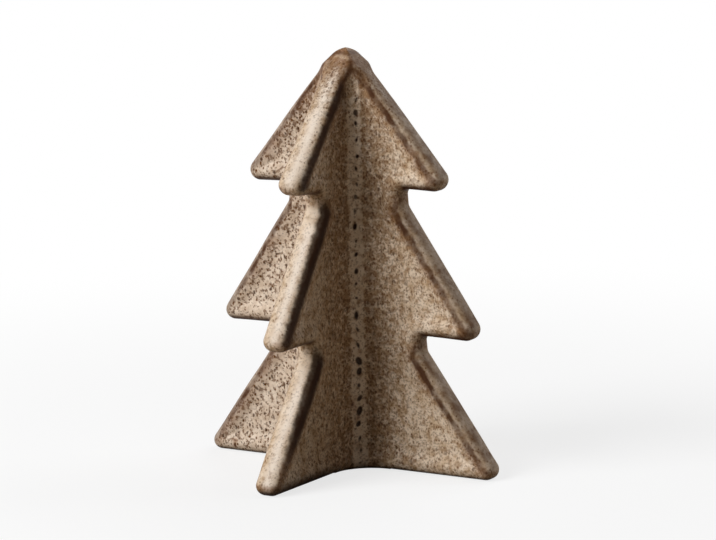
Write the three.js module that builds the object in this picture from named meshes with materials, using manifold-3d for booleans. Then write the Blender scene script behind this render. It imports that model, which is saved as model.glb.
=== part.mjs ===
// Stoneware fir tree: four tiered wings mitred together on one upright axis, with a bead of clay in each valley.
// Millimetres, +Z up. The origin is on the axis, at the level of the foot.
import * as THREE from 'three';
import { mergeVertices, toCreasedNormals } from 'three/addons/utils/BufferGeometryUtils.js';
import Module from 'manifold-3d';

// Overall size of the tree
const treeHeight = 140;
const apexRadius = 6.7;

// Crown: the dome's radius, how steeply it runs out over the ridges, and how far its ball bulges into the valleys
const crownRadius = 7.2;
const crownSlope = THREE.MathUtils.degToRad(45);
const crownBulge = 0.4;

// Tips of the three tiers: reach from the axis, height of the underside, rounding seen from the side
const topTipReach = 41.3;
const topTipHeight = 93.9;
const topTipRadius = 3.6;
const middleTipReach = 51.5;
const middleTipHeight = 45.6;
const middleTipRadius = 3.4;
const footTipReach = 58;
const footTipRadius = 3.2;

// Necks under the two upper tiers: reach of the short upright wall, its depth under the tip, and its roundings
const upperNeckReach = 22;
const upperNeckDrop = 5.6;
const lowerNeckReach = 28.2;
const lowerNeckDrop = 5.3;
const neckLean = 0.5;
const undersideRise = 0.4;
const throatRadius = 2.2;
const neckBendRadius = 2.7;

// Section of a wing: thickness at the rim, rounding of its edges, and the shallow dish inside the rim
const rimThickness = 9.2;
const rimRadius = 3;
const dishDepth = 1;
const dishBorder = 5;

// Valleys between the wings, and the bead of clay in each
const coveRadius = 11;
const beadWidth = 4.4;
const beadRootReach = 6.8;
const beadTopSetback = 6.5;

// Vent inside the core, open at the foot
const ventRadius = 3.5;
const ventHeight = 105;

// Gap between pieces that touch, and fineness of the curved surfaces
const jointGap = 0.3;
const arcStep = THREE.MathUtils.degToRad(15);
const rimSteps = 5;
const dishSteps = 3;
const coveSteps = 12;
const crownSteps = 3;
const turnSteps = 24;
const minimumRadius = 0.15;
const creaseAngle = THREE.MathUtils.degToRad(30);

const wingCount = 4;
const quarterTurn = Math.PI / 2;
const clearOfTree = 10;

// Slope of the top tier: the line from the tip that touches the round apex, and where it meets the axis
const apexCentreHeight = treeHeight - apexRadius;
const tipToCentre = Math.hypot(topTipReach, apexCentreHeight - topTipHeight);
const topSlope = Math.atan2(apexCentreHeight - topTipHeight, topTipReach) + Math.asin(apexRadius / tipToCentre);
const slopeMeetsAxis = topTipHeight + topTipReach * Math.tan(topSlope);

// The web is the wing's face inside the dish. A cove narrows to nothing where the crests of two wings meet.
const webHalf = rimThickness / 2 - dishDepth;
const coveEndHeight = slopeMeetsAxis - (webHalf + rimRadius / Math.sin(topSlope)) * Math.tan(topSlope);
const coveTaperHeight = coveEndHeight - coveRadius * Math.tan(topSlope);

const wasm = await Module();
wasm.setup();

// Outline of a whole slab, both wings of it, as sharp corners with a radius each, anticlockwise from the right foot
function slabCorners() {
  const right = [
    { x: footTipReach, z: 0, r: footTipRadius },
    { x: lowerNeckReach, z: middleTipHeight - lowerNeckDrop, r: neckBendRadius },
    { x: lowerNeckReach - neckLean, z: middleTipHeight + undersideRise, r: throatRadius },
    { x: middleTipReach, z: middleTipHeight, r: middleTipRadius },
    { x: upperNeckReach, z: topTipHeight - upperNeckDrop, r: neckBendRadius },
    { x: upperNeckReach - neckLean, z: topTipHeight + undersideRise, r: throatRadius },
    { x: topTipReach, z: topTipHeight, r: topTipRadius },
  ];
  const apex = { x: 0, z: slopeMeetsAxis, r: apexRadius };
  const left = right.map(({ x, z, r }) => ({ x: -x, z, r })).reverse();
  return [...right, apex, ...left];
}

// The same outline moved inwards: every edge shifts square to itself, so outer corners tighten and throats widen
function insetCorners(corners, inset) {
  const count = corners.length;
  const edges = corners.map((corner, i) => {
    const next = corners[(i + 1) % count];
    const along = new THREE.Vector2(next.x - corner.x, next.z - corner.z).normalize();
    const start = new THREE.Vector2(corner.x - along.y * inset, corner.z + along.x * inset);
    return { start, along };
  });
  return corners.map((corner, i) => {
    const before = edges[(i + count - 1) % count];
    const after = edges[i];
    const turn = before.along.cross(after.along);
    const gap = after.start.clone().sub(before.start);
    const meet = before.start.clone().addScaledVector(before.along, gap.cross(after.along) / turn);
    const r = turn > 0 ? Math.max(corner.r - inset, minimumRadius) : corner.r + inset;
    return { x: meet.x, z: meet.y, r };
  });
}

// Closed ring of points around the outline, each corner an arc that touches both its edges
function roundedRing(corners) {
  const ring = [];
  corners.forEach((corner, i) => {
    const here = new THREE.Vector2(corner.x, corner.z);
    const before = corners[(i + corners.length - 1) % corners.length];
    const after = corners[(i + 1) % corners.length];
    const arriving = here.clone().sub(new THREE.Vector2(before.x, before.z)).normalize();
    const leaving = new THREE.Vector2(after.x, after.z).sub(here).normalize();
    const turn = Math.atan2(arriving.cross(leaving), arriving.dot(leaving));
    const steps = Math.ceil(Math.abs(turn) / arcStep);
    const start = here.clone().addScaledVector(arriving, -corner.r * Math.tan(Math.abs(turn) / 2));
    const side = Math.sign(turn) * corner.r;
    const centre = new THREE.Vector2(start.x - arriving.y * side, start.y + arriving.x * side);
    for (let k = 0; k <= steps; k += 1) {
      ring.push(start.clone().rotateAround(centre, (turn * k) / steps));
    }
  });
  return ring;
}

// Half thickness of a slab at a distance in from its outline: a round edge, a crest, then the dish
function sectionOfRim() {
  const section = [];
  for (let k = 0; k <= rimSteps; k += 1) {
    const angle = (quarterTurn * k) / rimSteps;
    section.push({
      inset: rimRadius * (1 - Math.cos(angle)),
      half: rimThickness / 2 - rimRadius * (1 - Math.sin(angle)),
    });
  }
  for (let k = 1; k <= dishSteps; k += 1) {
    const share = k / dishSteps;
    section.push({
      inset: rimRadius + dishBorder * share,
      half: rimThickness / 2 - dishDepth * THREE.MathUtils.smoothstep(share, 0, 1),
    });
  }
  return section;
}

// Closed body through rings of equal length. Their flat outlines fill in the two ends.
function loft(rings, outlines) {
  const size = rings[0].length;
  const positions = rings.flat().flatMap((point) => point.toArray());
  const indices = [];
  for (let r = 0; r < rings.length - 1; r += 1) {
    for (let i = 0; i < size; i += 1) {
      const a = r * size + i;
      const b = r * size + ((i + 1) % size);
      indices.push(a, b, b + size, a, b + size, a + size);
    }
  }
  const lastRing = (rings.length - 1) * size;
  THREE.ShapeUtils.triangulateShape(outlines[0], [])
    .forEach(([a, b, c]) => indices.push(c, b, a));
  THREE.ShapeUtils.triangulateShape(outlines[rings.length - 1], [])
    .forEach(([a, b, c]) => indices.push(lastRing + a, lastRing + b, lastRing + c));
  const geometry = new THREE.BufferGeometry();
  geometry.setAttribute('position', new THREE.Float32BufferAttribute(positions, 3));
  geometry.setIndex(indices);
  return geometry;
}

// One slab across the whole tree, its middle plane on XZ
function slabGeometry() {
  const section = sectionOfRim();
  const sides = [
    ...section.map(({ inset, half }) => ({ inset, y: half })).reverse(),
    ...section.map(({ inset, half }) => ({ inset, y: -half })),
  ];
  const outlines = sides.map(({ inset }) => roundedRing(insetCorners(slabCorners(), inset)));
  const rings = outlines.map((outline, i) => outline.map((p) => new THREE.Vector3(p.x, sides[i].y, p.y)));
  return loft(rings, outlines);
}

// Column that rounds out the valley between +X and +Y, seen from above: an L whose inner corner is a hollow arc.
// Its foot edge is rounded like the rims, and its radius dies away towards the apex.
function coveGeometry() {
  const levels = [];
  for (let k = 0; k <= rimSteps; k += 1) {
    const angle = (quarterTurn * k) / rimSteps;
    levels.push({
      z: rimRadius * (1 - Math.cos(angle)),
      radius: coveRadius,
      inset: rimRadius * (1 - Math.sin(angle)),
    });
  }
  levels.push({ z: coveTaperHeight, radius: coveRadius, inset: 0 });
  levels.push({ z: coveEndHeight, radius: minimumRadius, inset: 0 });
  const outlines = levels.map(({ radius, inset }) => {
    const centre = webHalf + radius;
    const hollow = new THREE.EllipseCurve(centre, centre, radius + inset, radius + inset, -quarterTurn, Math.PI, true);
    return [new THREE.Vector2(0, 0), new THREE.Vector2(centre, 0), ...hollow.getPoints(coveSteps),
      new THREE.Vector2(0, centre)];
  });
  const rings = outlines.map((outline, i) => outline.map((p) => new THREE.Vector3(p.x, p.y, levels[i].z)));
  return loft(rings, outlines);
}

// Space under the crown's dome and the cone that it stands on, which trims the crossing ridges
function crownGeometry() {
  const centreHeight = treeHeight - crownRadius;
  const levels = [];
  for (let k = 0; k <= crownSteps; k += 1) {
    const angle = THREE.MathUtils.lerp(crownSlope, arcStep / 2, k / crownSteps);
    levels.push({
      z: centreHeight + crownRadius * Math.cos(angle),
      radius: crownRadius * Math.sin(angle),
    });
  }
  const { z, radius } = levels[0];
  const drop = z + clearOfTree;
  levels.unshift({ z: -clearOfTree, radius: radius + drop / Math.tan(crownSlope) });
  levels.push({ z: treeHeight, radius: crownRadius * Math.sin(arcStep / 4) });
  const outlines = levels.map((level) => {
    const circle = new THREE.EllipseCurve(0, 0, level.radius, level.radius);
    return circle.getPoints(turnSteps).slice(1);
  });
  const rings = outlines.map((outline, i) => outline.map((p) => new THREE.Vector3(p.x, p.y, levels[i].z)));
  return loft(rings, outlines);
}

// Ball on the axis that fills the tops of the valleys under the dome
function crownBallGeometry() {
  const ball = new THREE.SphereGeometry(crownRadius + crownBulge, turnSteps, turnSteps / 2);
  ball.rotateX(quarterTurn);
  return ball.translate(0, 0, treeHeight - crownRadius);
}

// Wedge of space that one wing fills: its sides lie beside the two mitre planes, half a gap inside them
function wedgeGeometry() {
  const far = footTipReach + clearOfTree;
  const tip = jointGap / Math.SQRT2;
  const shape = new THREE.Shape();
  shape.moveTo(tip, 0);
  shape.lineTo(far, tip - far);
  shape.lineTo(far, far - tip);
  shape.closePath();
  const geometry = new THREE.ExtrudeGeometry(shape, {
    depth: treeHeight + 2 * clearOfTree,
    bevelEnabled: false,
  });
  return geometry.translate(0, 0, -clearOfTree);
}

// Upright bar along the valley between +X and +Y: what lies in it is the bead. The slot around it is a gap larger.
function beadBarGeometry(gap) {
  const root = beadRootReach - gap;
  const outer = Math.SQRT2 * (webHalf + coveRadius);
  const top = coveEndHeight - beadTopSetback + gap;
  const bar = new THREE.BoxGeometry(outer - root, beadWidth + 2 * gap, top + clearOfTree);
  bar.translate((outer + root) / 2, 0, (top - clearOfTree) / 2);
  return bar.rotateZ(Math.PI / 4);
}

// Upright hole on the axis, from below the foot to its blind end
function ventGeometry() {
  const vent = new THREE.CylinderGeometry(ventRadius, ventRadius, ventHeight + clearOfTree, turnSteps);
  vent.rotateX(quarterTurn);
  return vent.translate(0, 0, (ventHeight - clearOfTree) / 2);
}

// Closed mesh to solid and back
function solid(geometry) {
  geometry.deleteAttribute('normal');
  geometry.deleteAttribute('uv');
  const merged = mergeVertices(geometry);
  const mesh = new wasm.Mesh({
    numProp: 3,
    vertProperties: merged.getAttribute('position').array,
    triVerts: new Uint32Array(merged.getIndex().array),
  });
  return new wasm.Manifold(mesh);
}

function surface(body) {
  const mesh = body.getMesh();
  const geometry = new THREE.BufferGeometry();
  geometry.setAttribute('position', new THREE.BufferAttribute(mesh.vertProperties, 3));
  geometry.setIndex(new THREE.BufferAttribute(mesh.triVerts, 1));
  return toCreasedNormals(geometry, creaseAngle);
}

// Both slabs crossed on the axis, with a cove in each of the four valleys and a domed crown
function crossedSlabs() {
  let body = solid(slabGeometry()).add(solid(slabGeometry().rotateZ(quarterTurn)));
  for (let k = 0; k < wingCount; k += 1) {
    body = body.add(solid(coveGeometry().rotateZ(k * quarterTurn)));
  }
  return body.add(solid(crownBallGeometry())).intersect(solid(crownGeometry()));
}

// The wing along +X, cut free of its neighbours, of half of each bead beside it and of the vent
function wingBody(body) {
  return body
    .intersect(solid(wedgeGeometry()))
    .subtract(solid(beadBarGeometry(jointGap)))
    .subtract(solid(beadBarGeometry(jointGap).rotateZ(-quarterTurn)))
    .subtract(solid(ventGeometry()));
}

// The bead of clay in the valley between +X and +Y
function beadBody(body) {
  return body.intersect(solid(beadBarGeometry(0)));
}

// Four copies of one piece around the axis, each with its own name
function aroundAxis(geometry, material, names) {
  return names.map((name, k) => {
    const mesh = new THREE.Mesh(geometry, material);
    mesh.name = name;
    mesh.rotation.z = k * quarterTurn;
    return mesh;
  });
}

const wingGlaze = new THREE.MeshStandardMaterial({ color: '#a98f73', roughness: 0.42, metalness: 0 });
const beadGlaze = new THREE.MeshStandardMaterial({ color: '#b8a184', roughness: 0.5, metalness: 0 });

const crossed = crossedSlabs();
const tree = new THREE.Group();
tree.add(...aroundAxis(surface(wingBody(crossed)), wingGlaze, ['wing_right', 'wing_back', 'wing_left', 'wing_front']));
tree.add(...aroundAxis(surface(beadBody(crossed)), beadGlaze, [
  'seam_bead_right_back',
  'seam_bead_back_left',
  'seam_bead_left_front',
  'seam_bead_front_right',
]));

export default tree;
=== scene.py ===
import itertools
import math
import random

import bmesh
import bpy
import numpy as np
from mathutils import Matrix, Vector


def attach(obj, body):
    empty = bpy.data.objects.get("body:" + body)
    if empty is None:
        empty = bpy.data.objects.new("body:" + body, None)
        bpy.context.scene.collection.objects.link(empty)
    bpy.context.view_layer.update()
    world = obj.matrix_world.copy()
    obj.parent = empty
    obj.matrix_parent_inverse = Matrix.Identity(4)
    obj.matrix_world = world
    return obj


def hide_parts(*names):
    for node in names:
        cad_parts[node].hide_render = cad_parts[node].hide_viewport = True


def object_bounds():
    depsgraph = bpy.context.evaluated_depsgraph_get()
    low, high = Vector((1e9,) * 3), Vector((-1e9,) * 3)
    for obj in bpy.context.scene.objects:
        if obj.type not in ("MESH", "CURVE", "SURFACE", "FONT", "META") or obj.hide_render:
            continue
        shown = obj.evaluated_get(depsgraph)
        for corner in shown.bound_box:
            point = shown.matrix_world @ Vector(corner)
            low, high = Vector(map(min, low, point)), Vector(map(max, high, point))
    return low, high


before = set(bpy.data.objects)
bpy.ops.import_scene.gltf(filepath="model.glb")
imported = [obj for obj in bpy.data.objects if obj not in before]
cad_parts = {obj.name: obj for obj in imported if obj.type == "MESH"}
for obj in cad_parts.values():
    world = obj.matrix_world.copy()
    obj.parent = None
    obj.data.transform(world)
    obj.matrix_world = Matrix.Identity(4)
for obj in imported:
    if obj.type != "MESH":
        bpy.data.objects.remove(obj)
cad_low, cad_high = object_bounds()

# The body is worked out in millimetres and becomes metres when a mesh is made
MM = 0.001
TREE_HEIGHT = cad_high.z / MM

# How far one step along a diagonal reaches along each axis
DIAGONAL = math.sqrt(0.5)

# Outline of a wing: reach of each tip, height of its underside, rounding seen from the side
APEX_RADIUS = 6.7
TOP_TIP = (41.3, 93.9, 3.6)
MIDDLE_TIP = (51.5, 45.6, 3.4)
FOOT_TIP = (58.0, 0.0, 3.2)

# Necks between the tiers: reach, and drop below the underside above; lean of a neck and rise of an underside
# towards the axis; and the roundings inside and outside of the bend
UPPER_NECK_REACH, UPPER_NECK_DROP = 22.0, 5.6
LOWER_NECK_REACH, LOWER_NECK_DROP = 28.2, 5.3
NECK_LEAN, UNDERSIDE_RISE = 0.5, 0.4
THROAT_RADIUS, NECK_BEND_RADIUS = 2.2, 2.7

# Crown: a dome on a cone trims the top, and balls on the axis, as (radius, height), fill it out
CROWN_RADIUS, CROWN_SLOPE, CROWN_EDGE = 5.6, math.radians(45), 0.5
CROWN_FILLERS, CROWN_JOIN = ((6.4, 132.6), (5.0, 135.0)), 4.0

# Shoulders under the crown are rubbed down where reach and height together come to this
SHOULDER_LINE, SHOULDER_BLEND = 142.0, 2.5

# Section of a wing: half thickness at the rim, rounding of its edges, the dish inside the rim
RIM_HALF = 4.8
RIM_RADIUS, RIM_WORN_RADIUS = 3.0, 3.7
DISH_DEPTH, DISH_BORDER = 1.2, 5.0

# Valleys: radius of the hollow between two wings, the least it shrinks to, and how far out it is cut
COVE_RADIUS, LEAST_COVE, CORE_REACH = 11.0, 1.6, 18.0

# Beads in the valleys: half width, how far off the axis they begin, how far under a valley's end they stop
BEAD_HALF, BEAD_ROOT, BEAD_SETBACK = 2.2, 6.8, 6.5

# Vent in the core
VENT_RADIUS, VENT_HEIGHT, VENT_EDGE = 3.5, 105.0, 0.6

# Shallow grooves that part a bead from the webs: how far from its middle, how wide and how deep they are,
# how many half web thicknesses from the axis they begin, and over what height they rise out of the foot
GROOVE_REACH, GROOVE_WIDTH, GROOVE_DEPTH = 3.8, 0.9, 0.35
GROOVE_START, GROOVE_RISE = 0.6, 3.0

# Pits in a bead, in millimetres: the way from one to the next, and the spans of their sizes
PIT_GAP = (3.1, 5.8)
PIT_HALF_WIDTH = (0.45, 0.7)
PIT_HALF_HEIGHT = (0.6, 1.15)
PIT_DEPTH = (0.6, 0.95)

# The sizes of a pit are also scaled together, by a number in this span raised to this power
PIT_SIZE, PIT_UNEVENNESS = (0.45, 1.25), 1.3

# How far a pit strays from its row and leans, and the rounding of its edge
PIT_WANDER, PIT_LEAN, PIT_EDGE = 0.35, 0.4, 0.12

# How far the row drifts sideways on its way up, and where it starts to
PIT_DRIFT, DRIFT_START, DRIFT_SPREAD = 0.9, 75.0, 40.0

# Height of the first pit, and the distance to a pit that stands for a piece without any
FIRST_PIT = 3.0
FAR_FROM_PITS = 9.0

# Waviness of the hand-smoothed surface, in millimetres, and how much of it lies inwards at the tips
WAVE_DEPTH, WAVE_LIFT = 0.09, 1.7

# Its waves: the phase, and how many millimetres along X, Y and Z turn the wave by one radian
BROAD_WAVE, CROSSING_WAVE = (0.6, 7.3, math.inf, 11.0), (1.9, math.inf, 8.1, -9.2)
MIDDLE_WAVE, SMALL_WAVE = (4.2, 4.1, -5.7, 6.3), (0.0, 12.0, -3.3, 3.9)
MIDDLE_SHARE, SMALL_SHARE = 0.45, 0.25

# Where the tips and the peak begin and over what length, and how high above the foot waves begin
TIPS_START, TIPS_SPAN = 47.0, 5.0
PEAK_START, PEAK_SPAN = 134.0, 4.0
WAVES_RISE = 4.0

# How much higher the front wing's top tip is set, from where outwards, and over what height
LIFT, LIFT_START, LIFT_REACH, LIFT_SPAN = 1.3, 18.0, 22.0, 14.0

# Where the right flank of the front wing, turned from the light, carries painted shade and dark glaze run
# together,
# in millimetres off its middle: the middle of its edge at the top tier, and at the foot and the neck of the
# lower ones
SHADED_POOL_EDGE_TOP, SHADED_POOL_EDGE_FOOT, SHADED_POOL_EDGE_NECK, SHADED_POOL_BLUR = 3.9, 3.7, 2.4, 1.3

# How strongly the left and back wings are speckled, and how strongly the others
SPOTTED, PLAIN = 1.0, 0.7

# A highlight is painted along the front wing's rim on a line this far right of its middle, and more faintly
# along
# the middle of the others: the line, its width, and how much fainter it is on the others
HIGHLIGHT_LINE, HIGHLIGHT_WIDTH, FAINTER_HIGHLIGHT = 1.0, 1.9, 0.5

# From this far left of its middle onwards, the front wing has no brown tips or brim with their painted shade,
# but a darker foot of painted contact shadow
FRONT_FACE_FROM, FRONT_FACE_BLUR = 3.4, 1.4

# Fineness of the meshes, how far past its cuts a piece is meshed, and what a bead has to spare outwards
WING_STEP = 0.4
BEAD_STEP = 0.2
CUT_MARGIN, BEAD_SPARE = 2.0, 0.5

# How points settle on a surface: reach of the probes, least slope, longest move, number of moves, and the
# slope under which a gradient has no direction
PROBE_REACH, LEAST_SLOPE, LONGEST_MOVE, MOVES = 0.02, 0.2, 0.4, 2
NO_SLOPE = 1e-6

# How near a point counts as on the glazed surface, and how well a face has to agree with smooth normals
TOUCHING = 0.02
SMOOTH_FACING = 0.5

# The photograph's frame, with the focal length in its pixels
PHOTO_WIDTH = 716
SENSOR_WIDTH = 36.0
FOCAL_PIXELS = 3160.0

# The camera: bearing, height, roll and distance, what it aims at, and how many pixels off the middle that is
CAMERA_BEARING, CAMERA_HEIGHT, CAMERA_ROLL = math.radians(31.94), math.radians(9.46), math.radians(-1.12)
CAMERA_DISTANCE, AIM_HEIGHT = 1.048, 0.069
AIM_OFFSET_X, AIM_OFFSET_Y = 8.4, -10.2


def top_slope():
    """Angle of the top tier's edge, and the height where it would meet the axis."""
    reach, height, _ = TOP_TIP
    rise = TREE_HEIGHT - APEX_RADIUS - height
    angle = math.atan2(rise, reach) + math.asin(APEX_RADIUS / math.hypot(reach, rise))
    return angle, height + reach * math.tan(angle)


SLOPE, SLOPE_APEX = top_slope()
WEB_HALF = RIM_HALF - DISH_DEPTH
COVE_END = SLOPE_APEX - (WEB_HALF + RIM_RADIUS / math.sin(SLOPE)) * math.tan(SLOPE)
VALLEY_REACH = math.sqrt(2) * (WEB_HALF + COVE_RADIUS)
BEAD_TOP = COVE_END - BEAD_SETBACK


def outline_corners():
    """Right half of a slab's outline as (reach, height, radius), from the foot up to the apex."""
    return [
        FOOT_TIP,
        (LOWER_NECK_REACH, MIDDLE_TIP[1] - LOWER_NECK_DROP, NECK_BEND_RADIUS),
        (LOWER_NECK_REACH - NECK_LEAN, MIDDLE_TIP[1] + UNDERSIDE_RISE, THROAT_RADIUS),
        MIDDLE_TIP,
        (UPPER_NECK_REACH, TOP_TIP[1] - UPPER_NECK_DROP, NECK_BEND_RADIUS),
        (UPPER_NECK_REACH - NECK_LEAN, TOP_TIP[1] + UNDERSIDE_RISE, THROAT_RADIUS),
        TOP_TIP,
        (0.0, SLOPE_APEX, APEX_RADIUS),
    ]


def cove_radius(z):
    """Radius of the hollow in each valley, which shrinks where the crests meet."""
    return np.clip((COVE_END - z) / math.tan(SLOPE), LEAST_COVE, COVE_RADIUS)


class Outline:
    """The slab's outline as straight runs and arcs, with its inside on the left."""

    def __init__(self, corners):
        foot, crown_side = corners[0], corners[-2]
        ring = [(-foot[0], *foot[1:]), *corners, (-crown_side[0], *crown_side[1:])]
        self.runs = []
        self.arcs = []
        run_start = np.array([0.0, foot[1]])
        for before, here, after in zip(ring, ring[1:], ring[2:]):
            corner, radius = np.array(here[:2]), here[2]
            arriving = (corner - before[:2]) / np.linalg.norm(corner - before[:2])
            leaving = (after[:2] - corner) / np.linalg.norm(after[:2] - corner)
            turn = math.atan2(arriving[0] * leaving[1] - arriving[1] * leaving[0], arriving @ leaving)
            bend = math.copysign(1.0, turn)
            tangent = radius * math.tan(abs(turn) / 2)
            start = corner - arriving * tangent
            centre = start + np.array([-arriving[1], arriving[0]]) * bend * radius
            facing = (corner - centre) / np.linalg.norm(corner - centre)
            self.runs.append((run_start, start))
            self.arcs.append((centre, radius, bend, facing, math.cos(turn / 2)))
            run_start = corner + leaving * tangent

    def reach_to(self, chosen, x, z):
        """Distance to the nearest of the chosen straight runs, and how far along it, from 0 to 1."""
        best = np.full(np.broadcast(x, z).shape, np.inf)
        climb = best.copy()
        for start, end in (self.runs[i] for i in chosen):
            length = np.linalg.norm(end - start)
            along = (end - start) / length
            climbed = (x - start[0]) * along[0] + (z - start[1]) * along[1]
            share = np.clip(climbed, 0, length)
            away = np.hypot(x - start[0] - share * along[0], z - start[1] - share * along[1])
            climb = np.where(away < best, climbed / length, climb)
            best = np.minimum(best, away)
        return best, climb

    def distance(self, x, z, first=0):
        """Signed distance, negative inside, for x outwards from the axis. first=1 leaves out the foot."""
        best = np.full(np.broadcast(x, z).shape, np.inf)
        signed = best.copy()
        for start, end in self.runs[first:]:
            length = np.linalg.norm(end - start)
            along = (end - start) / length
            dx, dz = x - start[0], z - start[1]
            share = np.clip(dx * along[0] + dz * along[1], 0, length)
            away = np.hypot(dx - share * along[0], dz - share * along[1])
            outside = np.where(dx * along[1] > dz * along[0], 1.0, -1.0)
            nearer = away < best
            best = np.where(nearer, away, best)
            signed = np.where(nearer, away * outside, signed)
        for centre, radius, bend, facing, opening in self.arcs[first:]:
            dx, dz = x - centre[0], z - centre[1]
            reach = np.hypot(dx, dz)
            away = np.abs(reach - radius)
            nearer = (dx * facing[0] + dz * facing[1] >= reach * opening) & (away < best)
            best = np.where(nearer, away, best)
            signed = np.where(nearer, (reach - radius) * bend, signed)
        return signed


OUTLINE = Outline(outline_corners())

# Which of its straight runs are the undersides of the tiers, and which are their slanted edges
UNDERSIDES = (3, 6)
SLANTS = (1, 4, 7)


def smoothstep(value):
    share = np.clip(value, 0, 1)
    return share * share * (3 - 2 * share)


def round_meet(a, b, radius):
    """What lies in both shapes, with a rounded edge where they meet."""
    edge = np.hypot(np.maximum(radius + a, 0), np.maximum(radius + b, 0))
    return np.minimum(-radius, np.maximum(a, b)) + edge


def round_join(a, b, radius):
    """Both shapes together, with a hollow cove where they meet."""
    cove = np.hypot(np.maximum(radius - a, 0), np.maximum(radius - b, 0))
    return np.maximum(radius, np.minimum(a, b)) - cove


def slab(distance, inset, across):
    """A slab whose outline is distance away, rounded along its rim and dished inside it."""
    half = RIM_HALF - DISH_DEPTH * smoothstep((inset - RIM_RADIUS) / DISH_BORDER)
    return round_meet(distance, across - half, RIM_WORN_RADIUS)


def crown(reach, above):
    """Signed distance from a dome on a cone, for points so far from the axis and above the dome's centre."""
    beyond = reach * math.sin(CROWN_SLOPE) + above * math.cos(CROWN_SLOPE)
    on_dome = above * math.sin(CROWN_SLOPE) >= reach * math.cos(CROWN_SLOPE)
    return np.where(on_dome, np.hypot(reach, above), beyond) - CROWN_RADIUS


def profile(reach, z, first=0):
    """Signed distance from the outline, with the shoulders under the crown rubbed down."""
    past_shoulder = (reach + z - SHOULDER_LINE) * DIAGONAL
    return round_meet(OUTLINE.distance(reach, z, first), past_shoulder, SHOULDER_BLEND)


def tree_field(x, y, z):
    """Signed distance from the unworn tree: two crossed slabs, a cove in each valley, and the vent."""
    x, y = np.abs(x), np.abs(y)
    along_x, along_y = profile(x, z), profile(y, z)
    slab_x = slab(along_x, -along_x, y)
    slab_y = slab(along_y, -along_y, x)
    open_x = slab(profile(x, z, first=1), -along_x, y)
    open_y = slab(profile(y, z, first=1), -along_y, x)
    core = np.maximum(round_join(open_x, open_y, cove_radius(z)), np.maximum(x, y) - CORE_REACH)
    core = round_meet(core, -z, RIM_RADIUS)
    body = np.minimum(np.minimum(slab_x, slab_y), core)
    reach = np.hypot(x, y)
    for radius, height in CROWN_FILLERS:
        body = round_join(body, np.hypot(reach, z - height) - radius, CROWN_JOIN)
    body = np.maximum(body, np.maximum(along_x, along_y))
    body = round_meet(body, crown(reach, z - TREE_HEIGHT + CROWN_RADIUS), CROWN_EDGE)
    across = np.abs(x - y) * DIAGONAL
    in_valley = smoothstep(np.minimum(x, y) / WEB_HALF - GROOVE_START) * smoothstep(z / GROOVE_RISE)
    groove = GROOVE_DEPTH * np.exp(-(((across - GROOVE_REACH) / GROOVE_WIDTH) ** 2)) * in_valley
    vent = np.maximum(reach - VENT_RADIUS, z - VENT_HEIGHT)
    return round_meet(body + groove, -vent, VENT_EDGE)


def wave(x, y, z, kind):
    """One of the waves of the surface, from -1 to 1."""
    phase, along_x, along_y, along_z = kind
    return np.sin(x / along_x + y / along_y + z / along_z + phase)


def hand_waves(x, y, z):
    """How far, in millimetres, the hand-smoothed surface lies under the ideal one."""
    waves = wave(x, y, z, BROAD_WAVE) * wave(x, y, z, CROSSING_WAVE)
    waves = waves + wave(x, y, z, MIDDLE_WAVE) * MIDDLE_SHARE
    waves = waves + wave(x, y, z, SMALL_WAVE) * SMALL_SHARE
    at_tips = smoothstep((np.maximum(np.abs(x), np.abs(y)) - TIPS_START) / TIPS_SPAN)
    at_peak = smoothstep((z - PEAK_START) / PEAK_SPAN)
    inwards = WAVE_LIFT * np.maximum(at_tips, at_peak)
    return WAVE_DEPTH * (waves + inwards) * smoothstep(z / WAVES_RISE)


def lift(x, y, z):
    """How far the hand-set top tip of the front wing stands above its fellows, in millimetres."""
    outwards = smoothstep((-y - np.abs(x) - LIFT_START) / LIFT_REACH)
    return LIFT * outwards * np.exp(-(((z - TOP_TIP[1]) / LIFT_SPAN) ** 2))


def gradient(field, points):
    """Values of a field at points, its unit gradients there, and how steep it is."""
    x, y, z = points.T
    slopes = np.stack([
        field(x + PROBE_REACH, y, z) - field(x - PROBE_REACH, y, z),
        field(x, y + PROBE_REACH, z) - field(x, y - PROBE_REACH, z),
        field(x, y, z + PROBE_REACH) - field(x, y, z - PROBE_REACH),
    ], axis=1) / (2 * PROBE_REACH)
    steepness = np.linalg.norm(slopes, axis=1, keepdims=True)
    direction = slopes / np.maximum(steepness, NO_SLOPE)
    return field(x, y, z), direction, np.maximum(steepness[:, 0], LEAST_SLOPE)


def settle(field, points):
    """Moves points onto the field's zero surface."""
    for _ in range(MOVES):
        value, direction, steepness = gradient(field, points)
        points = points - direction * np.clip(value / steepness, -LONGEST_MOVE, LONGEST_MOVE)[:, None]
    return points


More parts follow.
